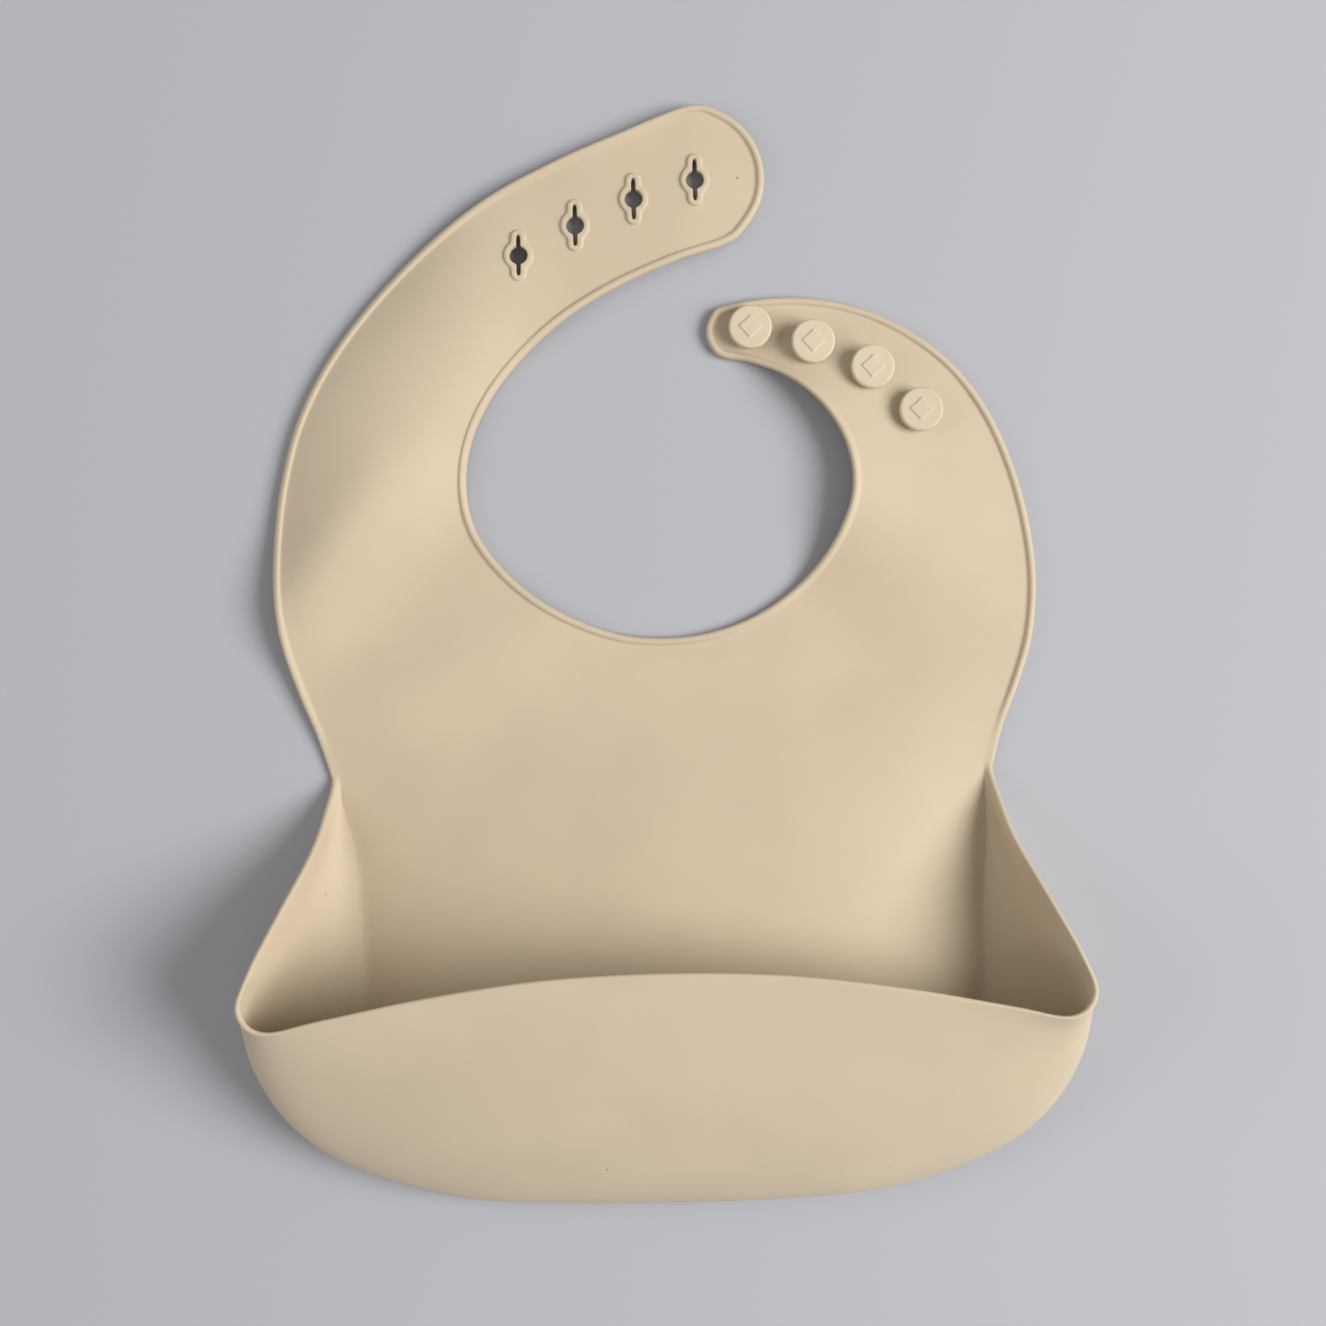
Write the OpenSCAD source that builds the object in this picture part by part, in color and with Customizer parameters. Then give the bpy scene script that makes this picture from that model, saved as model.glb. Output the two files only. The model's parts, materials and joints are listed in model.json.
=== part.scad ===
// Silicone baby bib with a catch pocket, lying flat on its back.
// X runs across the bib, Y from the pocket up to the neck, Z up from the table.
// The one-piece moulding is drawn as its panels, walls, beads, keyholes and studs,
// cut where the real one bends, so that each stretch between two folds is rigid.

/* [Overall] */
// Width over the corners of the pocket's mouth
bib_w = 225; // [188:1:270]
// Length from the waist up to the top of the long strap
upper_l = 186; // [155:1:223]
// Length from the waist down to the bottom of the pocket
pocket_l = 120.5; // [101:0.5:144.5]
// Height of the pocket's front rim above the table
pocket_h = 46.5; // [39:0.5:56]

/* [Silicone] */
// Thickness of the flat sheet
sheet_t = 1.8; // [1.5:0.1:2.6]
// Thickness of the pocket's wall
wall_t = 1.6; // [1.3:0.1:2]
// Width of the bead along the edges
bead_w = 2.3; // [1.8:0.1:3]
// Height of the bead above the sheet
bead_h = 1; // [0.6:0.1:1.4]

/* [Fastening] */
// Number of keyholes, and of studs
fastener_count = 4; // [2:1:4]
// Distance from one keyhole or stud to the next
fastener_pitch = 18; // [15:0.5:21.5]
// Diameter of a keyhole's round middle
hole_d = 5.1; // [4.2:0.1:6.2]
// Width of a keyhole's slits
slit_w = 1.2; // [0.8:0.1:2]
// Length of a keyhole over both slits
slit_l = 11.6; // [9.5:0.1:14]
// Width of the collar around a keyhole
collar_w = 1.4; // [1:0.1:1.8]
// Height of the collar above the sheet
collar_h = 0.8; // [0.5:0.1:1.2]
// Diameter of a stud's head
stud_d = 12.1; // [10:0.1:14.5]
// Thickness of a stud's head
stud_head_h = 2.2; // [1.8:0.1:3]
// Length of the stem between the sheet and the head
stem_l = 2.6; // [2:0.1:3.4]
// Clearance of the stem in a keyhole, on the diameter
stem_clearance = 0.4; // [0.1:0.1:0.6]
// Side of the raised square on a stud's head
mark_w = 4.8; // [4:0.1:5.8]
// Height of the raised square
mark_h = 0.35; // [0.2:0.05:0.5]

/* [Folds] */
// Distance of the waist fold above the waist
waist_fold = 10; // [8:0.5:14]
// Distance of the strap folds above the waist
strap_fold = 62; // [52:1:72]
// Gap between two panels at a fold
fold_gap = 0.4; // [0.3:0.1:0.6]
// Distance that a bead stops short of a fold
bead_relief = 2.2; // [1.9:0.1:3]
// Gap around the pocket's front wall where it flexes
flex_gap = 0.4; // [0.3:0.1:0.6]

/* [Hidden] */
$fn = 64;

silicone = [0.86, 0.78, 0.65];
silicone_light = [0.9, 0.82, 0.7];

// The shapes below are drawn in millimetres for a bib of these sizes, with y = 0 at the waist.
DRAWN_W = 225;
DRAWN_UPPER_L = 186;
DRAWN_POCKET_L = 120.5;
DRAWN_POCKET_H = 46.5;
// The waist's place puts the origin under the middle of the whole bib.
waist_y = (pocket_l - upper_l) / 2;
stem_d = hole_d - stem_clearance;
far = 2 * (bib_w + upper_l);
slack = 1;

// Places on the flat upper part, and in the pocket
function upper(p) = [p.x * bib_w / DRAWN_W, waist_y + p.y * upper_l / DRAWN_UPPER_L];
function lower(p) = [
    p.x * bib_w / DRAWN_W,
    waist_y + p.y * pocket_l / DRAWN_POCKET_L,
    p.z * pocket_h / DRAWN_POCKET_H
];

// A smooth curve through points: n steps for each span
function cubic(a, b, c, d, t) =
    0.5 * (2 * b + (c - a) * t + (2 * a - 5 * b + 4 * c - d) * t * t + (3 * b - a - 3 * c + d) * t * t * t);
function end_or(points, i) =
    i < 0 ? 2 * points[0] - points[1]
    : i >= len(points) ? 2 * points[len(points) - 1] - points[len(points) - 2]
    : points[i];
function spline(points, n) = concat(
    [for (i = [0:len(points) - 2])
        for (k = [0:n - 1])
            cubic(end_or(points, i - 1), points[i], points[i + 1], end_or(points, i + 2), k / n)],
    [points[len(points) - 1]]
);
function arc(centre, r, angles) = [for (a = angles) centre + r * [cos(a), sin(a)]];
function reversed(list) = [for (i = [len(list) - 1:-1:0]) list[i]];

// The point at distance s along a polyline
function walk(line, s, i = 0) =
    let (step = norm(line[i + 1] - line[i]))
    i >= len(line) - 2 || s <= step
        ? line[i] + (line[i + 1] - line[i]) * (s / step)
        : walk(line, s - step, i + 1);

// A polyline moved to its right by w
function beside(line, w) = [
    for (i = [0:len(line) - 1])
        let (
            a = line[max(i - 1, 0)],
            b = line[min(i + 1, len(line) - 1)],
            t = (b - a) / norm(b - a)
        )
        line[i] + w * [t.y, -t.x]
];

// Edge of the flat part, from the left of the waist round both straps to the right of the waist
TAB_CENTRE = [12, 165.5];
TAB_R = 20.2;
TIP_CENTRE = [22.8, 122.4];
TIP_R = 7.9;
left_outer = [
    [-93.5, 0], [-97, 11], [-101.6, 23], [-105.4, 36], [-107.4, 51], [-107.4, 67], [-105.4, 83],
    [-100.5, 100], [-91.5, 117], [-78.5, 133.5], [-63, 148.5], [-46, 161], [-27, 170.8], [-8, 178.6]
];
tab_end = arc(TAB_CENTRE, TAB_R, [92:-27:-43]);
neckline = [
    [21, 147], [6, 142], [-10, 135.2], [-24, 127], [-36, 117], [-45.5, 105.5], [-51.5, 93],
    [-53.4, 80], [-51, 68], [-44, 57.5], [-34, 48.5], [-22, 41.8], [-8, 37.4], [8, 37], [22, 40.3],
    [34, 46.6], [44, 55.5], [51, 66], [54.6, 77.5], [53.2, 89], [47.5, 99.5], [38, 108.4], [27.5, 113.4]
];
tip_end = arc(TIP_CENTRE, TIP_R, [245, 215, 180, 145, 115]);
right_outer = [
    [32, 131.6], [46, 131.2], [60, 127.8], [73, 121.2], [84.5, 111.8], [93.5, 99.5], [100, 85],
    [104.3, 69], [106.3, 52], [105, 36], [101.2, 23], [96.5, 11], [93.5, 0]
];
edge_points = concat(left_outer, tab_end, neckline, tip_end, right_outer);
edge = spline([for (p = edge_points) upper(p)], 4);

// Fold lines, and the polygons that part the flat sheet at them
fold_waist_y = waist_y + waist_fold * upper_l / DRAWN_UPPER_L;
fold_strap_y = waist_y + strap_fold * upper_l / DRAWN_UPPER_L;
TAB_FOLD_OUTER = [-66, 146];
TAB_FOLD_INNER = [-33, 120];
tab_fold_a = upper(TAB_FOLD_OUTER);
tab_fold_b = upper(TAB_FOLD_INNER);
tab_fold_dir = (tab_fold_b - tab_fold_a) / norm(tab_fold_b - tab_fold_a);
tab_fold_normal = [-tab_fold_dir.y, tab_fold_dir.x];
TAB_BORDER = [[14, 135], [60, 140]];

// The part of the sheet that turns at the tab fold, at distance d beyond it
function tab_zone(d) = concat(
    [
        tab_fold_a - far * tab_fold_dir + d * tab_fold_normal,
        tab_fold_b + 8 * tab_fold_dir + d * tab_fold_normal
    ],
    [for (p = TAB_BORDER) upper(p)],
    [[far, upper(TAB_BORDER[1]).y], [far, far]]
);
// The long strap below the tab fold, at distance d from both of its folds
function long_strap_zone(d) = [
    [-far, fold_strap_y + d],
    [0, fold_strap_y + d],
    [0, upper([0, 110]).y],
    tab_fold_b + 8 * tab_fold_dir - d * tab_fold_normal,
    tab_fold_a - far * tab_fold_dir - d * tab_fold_normal
];
function short_strap_zone(d) = concat(
    [[0, fold_strap_y + d], [far, fold_strap_y + d], [far, upper(TAB_BORDER[1]).y]],
    [for (p = reversed(TAB_BORDER)) upper(p)],
    [[0, upper([0, 127]).y]]
);
function chest_zone(x0, x1, d) = [
    [x0, fold_waist_y + d], [x1, fold_waist_y + d], [x1, fold_strap_y - d], [x0, fold_strap_y - d]
];
// A line that runs up the middle of the long strap, and the ground on either side of it
STRAP_MIDDLE = [[-80, 62], [-49, 133]];
strap_side_outer = concat([for (p = STRAP_MIDDLE) upper(p)], [[0, far], [-far, far], [-far, fold_strap_y]]);
strap_side_inner = concat([for (p = reversed(STRAP_MIDDLE)) upper(p)], [[0, fold_strap_y], [0, far]]);

// Middle lines of the keyholes and of the studs, each from the strap's round end
KEYHOLE_LINE = [[12.6, 164.8], [-4.6, 159.8], [-20.8, 152.9], [-36.6, 144.7], [-52, 133]];
STUD_LINE = [[27.2, 123], [44.8, 118.3], [61.4, 110.4], [74.6, 98], [84, 82]];
keyhole_line = spline([for (p = KEYHOLE_LINE) upper(p)], 6);
stud_line = spline([for (p = STUD_LINE) upper(p)], 6);
function keyhole_at(i) = walk(keyhole_line, i * fastener_pitch);
function stud_at(i) = walk(stud_line, i * fastener_pitch);
MARK_TURN = 41;
STUD_EDGE_R = 0.5;

// Pocket: one row for each station from the right of the waist to the middle of the front.
// crease x, y; rim x, y, z; outward angle; then the two handles of the wall's section:
// low handle out and up from the crease, high handle out and down from the rim
STATIONS = [
    [92.4, -4, 94.2, -5, 4.5, 0, 1.4, 0.3, -0.4, 2],
    [89.2, -16, 97, -20, 16, 0, 7, 0.5, -2.5, 7],
    [87.4, -32, 104.2, -36, 28.5, -2, 11, 1, -5, 12],
    [86.6, -48, 110, -49, 36.5, -8, 15, 2, -6, 15],
    [86.3, -64, 112.4, -59, 40.3, -20, 22, 5, 1, 17],
    [85.5, -80, 105.5, -64.6, 42, -40, 32, 8, 18, 20],
    [78.5, -95.5, 89.5, -61.4, 43.2, -62, 30, 6, 38, 17],
    [62, -106, 62, -55.8, 44.8, -90, 27, 3, 53, 16],
    [32, -110.5, 32, -51.6, 46, -90, 25, 3, 58, 16],
    [0, -111.5, 0, -50.3, 46.5, -90, 24, 3, 60, 16]
];
SIDE_FROM = 0;
SIDE_TO = 4;
CORNER_TO = 7;
MIDDLE = 9;
SPAN_STEPS = 4;
WALL_ROWS = 12;
// Place of the flex line up the front wall's section, as the section's own parameter
FLEX_AT = 0.38;
flex_half = 0.015 * flex_gap / 0.4;

function out_dir(s) = [cos(s[5]), sin(s[5]), 0];
function handles(s) = [
    lower([s[0], s[1], 0]),
    lower([s[0], s[1], s[7]] + s[6] * out_dir(s)),
    lower([s[2], s[3], s[4] - s[9]] + s[8] * out_dir(s)),
    lower([s[2], s[3], s[4]])
];
// Columns hold the four handles of a section and its direction along the wall.
function along_dir(s) = [sin(s[5]), -cos(s[5]), 0];
// Stations beyond the middle mirror those before it, so the curves are level there.
function mirrored(p) = [-p.x, p.y, p.z];
whole_parts = [
    for (part = [0:4])
        let (half = [for (s = STATIONS) part == 4 ? along_dir(s) : handles(s)[part]])
        spline(
            concat(half, [for (i = [MIDDLE - 1:-1:0]) part == 4
                ? [half[i].x, -half[i].y, 0]
                : mirrored(half[i])]),
            SPAN_STEPS
        )
];
function column(j) = [for (part = [0:4]) whole_parts[part][j]];
function section(c, t) =
    pow(1 - t, 3) * c[0] + 3 * t * pow(1 - t, 2) * c[1] + 3 * t * t * (1 - t) * c[2] + pow(t, 3) * c[3];
function section_slope(c, t) =
    pow(1 - t, 2) * (c[1] - c[0]) + 2 * t * (1 - t) * (c[2] - c[1]) + t * t * (c[3] - c[2]);
function unit(v) = v / norm(v);
// Towards the inside of the pocket; straight up at the crease, where the wall meets the sheet
function inward(c, t) = t == 0 ? [0, 0, 1] : unit(cross(c[4], section_slope(c, t)));
function wall_thickness(t) = t == 0 ? sheet_t : wall_t;

// A stretch of wall: columns of the whole pocket, and section parameters from the crease to the rim
module wall(columns, rows) {
    m = len(rows);
    n = len(columns);
    outside = [for (c = columns) for (t = rows) section(c, t)];
    inside = [for (c = columns) for (t = rows) section(c, t) + wall_thickness(t) * inward(c, t)];
    points = concat(outside, inside);
    half = n * m;
    function quad(a, b, c, d) = [[a, b, c], [a, c, d]];
    skins = [
        for (i = [0:n - 2])
            for (k = [0:m - 2])
                let (a = i * m + k, b = (i + 1) * m + k)
                each concat(quad(a, a + 1, b + 1, b), quad(half + a, half + b, half + b + 1, half + a + 1))
    ];
    long_edges = [
        for (i = [0:n - 2])
            let (a = i * m, b = (i + 1) * m, e = m - 1)
            each concat(quad(a, b, half + b, half + a), quad(a + e, half + a + e, half + b + e, b + e))
    ];
    end_edges = [
        for (k = [0:m - 2])
            let (z = (n - 1) * m)
            each concat(
                quad(k, half + k, half + k + 1, k + 1),
                quad(z + k, z + k + 1, half + z + k + 1, half + z + k)
            )
    ];
    polyhedron(points, concat(skins, long_edges, end_edges), convexity = 6);
}
function rows_between(a, b, n) = [for (k = [0:n]) a + (b - a) * k / n];
function columns_between(a, b) = [for (j = [a * SPAN_STEPS:b * SPAN_STEPS]) column(j)];
// The front wall and the bottom keep to planes of constant x, so that the front can turn between the corners.
function squared(c, x) = [for (part = [0:4]) part == 4 ? [-1, 0, 0] : [x, c[part].y, c[part].z]];
function front_columns(gap) =
    let (edge_x = column(CORNER_TO * SPAN_STEPS)[0].x - gap)
    [
        for (j = [CORNER_TO * SPAN_STEPS:(2 * MIDDLE - CORNER_TO) * SPAN_STEPS])
            let (c = column(j))
            squared(c, min(edge_x, max(-edge_x, c[0].x)))
    ];

crease = [for (c = columns_between(0, 2 * MIDDLE)) [c[0].x, c[0].y]];
back_outline = concat(edge, crease);

// ---- flat sheet ----
module sheet(zone) {
    color(silicone)
    intersection() {
        linear_extrude(sheet_t) polygon(back_outline);
        translate([0, 0, -slack]) linear_extrude(sheet_t + 2 * slack) polygon(zone);
    }
}
module bead(zone) {
    color(silicone_light)
    translate([0, 0, sheet_t])
    intersection() {
        linear_extrude(bead_h) polygon(concat(edge, reversed(beside(edge, bead_w))));
        translate([0, 0, -slack]) linear_extrude(bead_h + 2 * slack) polygon(zone);
    }
}

module lower_panel() {
    top = fold_waist_y - fold_gap / 2;
    sheet([[-far, -far], [far, -far], [far, top], [-far, top]]);
}
module chest_panel() {
    sheet(chest_zone(-far, far, fold_gap / 2));
}
module neckline_bead() {
    inner_x = upper([80, 0]).x;
    bead(chest_zone(-inner_x, inner_x, bead_relief));
}
module chest_bead_left() {
    bead(chest_zone(-far, upper([-80, 0]).x, bead_relief));
}
module chest_bead_right() {
    bead(chest_zone(upper([80, 0]).x, far, bead_relief));
}
module long_strap() {
    sheet(long_strap_zone(fold_gap / 2));
}
module long_strap_outer_bead() {
    intersection() {
        bead(long_strap_zone(bead_relief));
        linear_extrude(far) polygon(strap_side_outer);
    }
}
module long_strap_inner_bead() {
    intersection() {
        bead(long_strap_zone(bead_relief));
        linear_extrude(far) polygon(strap_side_inner);
    }
}
module short_strap() {
    sheet(short_strap_zone(fold_gap / 2));
}
module short_strap_bead() {
    bead(short_strap_zone(bead_relief));
}

// ---- keyholes ----
module keyhole_outline(grow) {
    circle(d = hole_d + 2 * grow);
    square([slit_w + 2 * grow, slit_l - slit_w], center = true);
    for (end = [-1, 1])
        translate([0, end * (slit_l - slit_w) / 2]) circle(d = slit_w + 2 * grow);
}
module keyhole(i) {
    translate(keyhole_at(i)) translate([0, 0, -slack])
    linear_extrude(sheet_t + 2 * slack) keyhole_outline(0);
}
module keyhole_tab() {
    difference() {
        sheet(tab_zone(fold_gap / 2));
        for (i = [0:fastener_count - 1]) keyhole(i);
    }
}
module keyhole_tab_bead() {
    bead(tab_zone(bead_relief));
}
module keyhole_collar(i) {
    if (i < fastener_count)
        color(silicone_light)
        translate(concat(keyhole_at(i), sheet_t))
        difference() {
            linear_extrude(collar_h) keyhole_outline(collar_w);
            translate([0, 0, -slack]) linear_extrude(collar_h + 2 * slack) keyhole_outline(0);
        }
}

// ---- studs ----
module stud(i) {
    r = stud_d / 2;
    head_top = stem_l + stud_head_h;
    if (i < fastener_count)
        color(silicone_light)
        translate(concat(stud_at(i), sheet_t)) {
            rotate_extrude() polygon(concat(
                [[0, 0], [stem_d / 2, 0], [stem_d / 2, stem_l], [r, stem_l]],
                arc([r - STUD_EDGE_R, head_top - STUD_EDGE_R], STUD_EDGE_R, [0:30:90]),
                [[0, head_top]]
            ));
            translate([0, 0, head_top - slack / 2]) rotate(MARK_TURN)
            linear_extrude(mark_h + slack / 2) square(mark_w, center = true);
        }
}

// ---- pocket ----
module pocket_side_right() {
    color(silicone) wall(columns_between(SIDE_FROM, SIDE_TO), rows_between(0, 1, WALL_ROWS));
}
module pocket_side_left() {
    mirror([1, 0, 0]) pocket_side_right();
}
module pocket_corner_right() {
    last = CORNER_TO * SPAN_STEPS;
    columns = [
        for (j = [SIDE_TO * SPAN_STEPS:last])
            j == last ? squared(column(j), column(j)[0].x) : column(j)
    ];
    color(silicone) wall(columns, rows_between(0, 1, WALL_ROWS));
}
module pocket_corner_left() {
    mirror([1, 0, 0]) pocket_corner_right();
}
module pocket_bottom() {
    color(silicone) wall(front_columns(0), rows_between(0, FLEX_AT - flex_half, 5));
}
module pocket_front() {
    color(silicone) wall(front_columns(flex_gap), rows_between(FLEX_AT + flex_half, 1, 8));
}

lower_panel();
pocket_side_left();
pocket_side_right();
pocket_corner_left();
pocket_corner_right();
pocket_bottom();
pocket_front();
chest_panel();
neckline_bead();
chest_bead_left();
chest_bead_right();
long_strap();
long_strap_outer_bead();
long_strap_inner_bead();
keyhole_tab();
keyhole_tab_bead();
keyhole_collar(0);  // keyhole_collar_1
keyhole_collar(1);  // keyhole_collar_2
keyhole_collar(2);  // keyhole_collar_3
keyhole_collar(3);  // keyhole_collar_4
short_strap();
short_strap_bead();
stud(0);  // stud_1
stud(1);  // stud_2
stud(2);  // stud_3
stud(3);  // stud_4
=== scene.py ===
"""Looks of the silicone bib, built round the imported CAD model.

The whole moulding is made as one skin: a flat sheet with a bead along its edge and a collar round each
keyhole, and the pocket's wall. The skin is then parted into five closed pieces, each of which crosses one
fold. Lengths are in millimetres in the CAD frame until a mesh is made.
"""

import json
import math

import bmesh
import bpy
import numpy as np
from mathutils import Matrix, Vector
from mathutils.geometry import delaunay_2d_cdt


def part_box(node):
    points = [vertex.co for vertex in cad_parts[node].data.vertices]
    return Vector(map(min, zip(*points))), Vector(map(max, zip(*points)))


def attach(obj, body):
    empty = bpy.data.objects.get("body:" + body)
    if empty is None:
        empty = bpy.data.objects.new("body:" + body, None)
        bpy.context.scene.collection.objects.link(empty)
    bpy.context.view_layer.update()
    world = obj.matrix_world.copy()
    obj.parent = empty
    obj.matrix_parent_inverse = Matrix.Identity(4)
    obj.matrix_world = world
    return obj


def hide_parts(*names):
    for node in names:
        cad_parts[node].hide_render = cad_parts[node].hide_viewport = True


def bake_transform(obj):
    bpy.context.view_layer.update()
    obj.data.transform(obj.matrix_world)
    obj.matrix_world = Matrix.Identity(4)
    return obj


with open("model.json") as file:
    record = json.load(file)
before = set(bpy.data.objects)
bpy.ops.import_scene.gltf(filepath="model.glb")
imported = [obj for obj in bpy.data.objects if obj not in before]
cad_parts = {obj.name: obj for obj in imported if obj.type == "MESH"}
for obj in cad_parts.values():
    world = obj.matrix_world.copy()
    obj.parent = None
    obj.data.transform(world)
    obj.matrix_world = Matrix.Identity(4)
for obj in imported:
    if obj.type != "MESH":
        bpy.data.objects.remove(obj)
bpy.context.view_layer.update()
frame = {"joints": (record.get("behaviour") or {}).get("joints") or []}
MM = 0.001


def joint(name):
    return next(j for j in frame["joints"] if j["name"] == name)


# ---- sizes ----
SHEET_T = (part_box("chest_panel")[1][2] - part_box("chest_panel")[0][2]) / MM
RIM_T = 1.5
FOLD_OVER_WAIST = 10
WAIST_Y = joint("waist_fold")["pos_m"][1] / MM - FOLD_OVER_WAIST
STRAP_FOLD_Y = joint("long_strap_bend")["pos_m"][1] / MM
# Width of the strip along the edge that carries the bead
BAND_W = 2.9
HOLE_R = 2.55
SLIT_W = 1.2
SLIT_L = 11.6
COLLAR_W = 1.4
FASTENERS = 4


# ---- curves ----
def spline(points, n):
    """A smooth curve through points, n steps for each span."""
    p = np.array(points, float)
    p = np.vstack([2 * p[0] - p[1], p, 2 * p[-1] - p[-2]])
    t = (np.arange(n) / n)[:, None]
    spans = [
        0.5
        * (
            2 * b
            + (c - a) * t
            + (2 * a - 5 * b + 4 * c - d) * t**2
            + (3 * b - a - 3 * c + d) * t**3
        )
        for a, b, c, d in zip(p, p[1:], p[2:], p[3:])
    ]
    return np.vstack(spans + [p[-2][None]])


def arc(centre, r, angles):
    return [
        (centre[0] + r * math.cos(math.radians(a)), centre[1] + r * math.sin(math.radians(a)))
        for a in angles
    ]


def smooth(lo, hi, v):
    t = np.clip((v - lo) / (hi - lo), 0, 1)
    return t * t * (3 - 2 * t)


def between(v, rise, fall):
    """1 between two ranges of v, rising smoothly over the first and falling over the second."""
    return smooth(*rise, v) * (1 - smooth(*fall, v))


def unit(v):
    return v / np.linalg.norm(v, axis=-1, keepdims=True)


# ---- edge of the flat part, from the left of the waist round both straps; y = 0 at the waist ----
LEFT_OUTER = [
    (-93.5, 0), (-97, 11), (-101.6, 23), (-105.4, 36), (-107.4, 51), (-107.4, 67), (-105.4, 83),
    (-100.5, 100), (-91.5, 117), (-78.5, 133.5), (-63, 148.5), (-46, 161), (-27, 170.8), (-8, 178.6),
]
TAB_END = arc((12, 165.5), 20.2, range(92, -44, -27))
NECKLINE = [
    (21, 147), (6, 142), (-10, 135.2), (-24, 127), (-36, 117), (-45.5, 105.5), (-51.5, 93),
    (-53.4, 80), (-51, 68), (-44, 57.5), (-34, 48.5), (-22, 41.8), (-8, 37.4), (8, 37), (22, 40.3),
    (34, 46.6), (44, 55.5), (51, 66), (54.6, 77.5), (53.2, 89), (47.5, 99.5), (38, 108.4),
    (27.5, 113.4),
]
TIP_END = arc((22.8, 122.4), 7.9, (245, 215, 180, 145, 115))
RIGHT_OUTER = [
    (32, 131.6), (46, 131.2), (60, 127.8), (73, 121.2), (84.5, 111.8), (93.5, 99.5), (100, 85),
    (104.3, 69), (106.3, 52), (105, 36), (101.2, 23), (96.5, 11), (93.5, 0),
]
KEYHOLE_LINE = [(12.6, 164.8), (-4.6, 159.8), (-20.8, 152.9), (-36.6, 144.7), (-52, 133)]
FASTENER_PITCH = 18
EDGE_STEPS = 8
FASTENER_STEPS = 6
NORMAL_PASSES = 6
above_waist = np.array([0, WAIST_Y])
edge = above_waist + spline(LEFT_OUTER + TAB_END + NECKLINE + TIP_END + RIGHT_OUTER, EDGE_STEPS)


def walk(line, s):
    """The point at distance s along a polyline."""
    steps = np.linalg.norm(np.diff(line, axis=0), axis=1)
    along = np.concatenate([[0], np.cumsum(steps)])
    return np.array([np.interp(s, along, line[:, k]) for k in (0, 1)])


keyhole_line = above_waist + spline(KEYHOLE_LINE, FASTENER_STEPS)
keyholes = [walk(keyhole_line, i * FASTENER_PITCH) for i in range(FASTENERS)]


def inward_normals(line):
    """Directions into the sheet at right angles to its edge, smoothed so that they never cross."""
    ahead = np.vstack([line[1:], line[-1:]])
    behind = np.vstack([line[:1], line[:-1]])
    t = unit(ahead - behind)
    for _ in range(NORMAL_PASSES):
        t[1:-1] = unit(t[:-2] + 2 * t[1:-1] + t[2:])
    return np.stack([t[:, 1], -t[:, 0]], 1)


ring = edge + inward_normals(edge) * BAND_W


# ---- pocket: crease x, y; rim x, y, z; outward angle; low handle out, up; high handle out, down ----
STATIONS = [
    (90.4, -8, 94.3, -8.5, 6.5, 0, 2.4, 0.2, -0.8, 2.6),
    (89.2, -16, 97, -20, 16, 0, 7, 0.5, -2.5, 7),
    (87.4, -32, 104.2, -36, 28.5, -2, 11, 1, -5, 12),
    (86.6, -48, 110, -49, 36.5, -8, 15, 2, -6, 15),
    (86.3, -64, 112.4, -59, 40.3, -20, 22, 5, 1, 19),
    (85.5, -80, 105.5, -64.6, 42, -40, 32, 8, 18, 24),
    (78.5, -95.5, 89.5, -61.4, 43.2, -62, 30, 6, 38, 22),
    (62, -106, 62, -55.8, 44.8, -90, 27, 3, 53, 18.5),
    (32, -110.5, 32, -51.6, 46, -90, 25, 3, 58, 16),
    (0, -111.5, 0, -50.3, 46.5, -90, 24, 3, 60, 16),
]
COLUMN_STEPS = 8
WAIST_GAP = 0.9
CREASE_SHIFT = 2.3
CREASE_RANGE = (34, 58), (112, 135)


def handles(s):
    """The four points of a station's wall curve, and the direction across that curve."""
    a = math.radians(s[5])
    out = np.array([math.cos(a), math.sin(a), 0])
    crease, rim = np.array([s[0], s[1], 0]), np.array([s[2], s[3], s[4]])
    low = crease + s[6] * out + [0, 0, s[7]]
    high = rim + s[8] * out - [0, 0, s[9]]
    lateral = np.array([math.sin(a), -math.cos(a), 0])
    place = np.array([0, WAIST_Y, 0])
    return np.array([crease + place, low + place, high + place, rim + place, lateral])


def waist_handles():
    """The wall starts as the sheet's own edge, just below the waist."""
    across = unit(edge[-1] - ring[-1])
    down = np.array([across[1], -across[0]])
    foot = ring[-1] + WAIST_GAP * down
    flat = [np.append(foot + across * BAND_W * k / 3, 0) for k in range(4)]
    return np.array(flat + [[*down, 0]])


half = np.array([waist_handles()] + [handles(s) for s in STATIONS])
flip = np.array([[-1, 1, 1]] * 4 + [[1, -1, 1]])
whole = np.concatenate([half, half[-2::-1] * flip])
columns = np.stack([spline(whole[:, k], COLUMN_STEPS) for k in range(5)], 1)
column_n = len(columns)


def sideways(y):
    """How far to the right the pocket's creases lie."""
    return CREASE_SHIFT * between(-y, *CREASE_RANGE)


columns[:, 0, 0] += sideways(columns[:, 0, 1])
crease = columns[:, 0, :2]


# ---- how the sheet lies: it isn't quite flat on the table ----
NECK_CENTRE = (0, WAIST_Y + 90)
CROWN_H = 12
CROWN_POWER = 2.2
CROWN_CREST = 0.3
STRAP_ARCH_H = 6
TAB_LIFT = 2.2
RIGHT_NECK_LIFT = 7.5
LEFT_RIDGE_H = 6.6
CHEST_SWELL_H = 4
# Along y: where the crown rises and fades, and where the upper part's own heights set in
CROWN_RANGE = (-144, -112), (-62, -4)
UPPER_RANGE = (WAIST_Y + 2, WAIST_Y + 32)
# The crown reaches further out above the waist, where the sheet is wider
CROWN_SPREAD = 14
CROWN_SPREAD_END = 8
# Angles about the neck, anticlockwise from the right: where each lift rises and fades
LONG_STRAP_TURNS = (112, 150), (176, 212)
TAB_TURNS = (62, 84), (120, 150)
RIGHT_NECK_TURNS = (-48, -12), (12, 50)
RIGHT_NECK_POWER = 1.2
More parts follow.
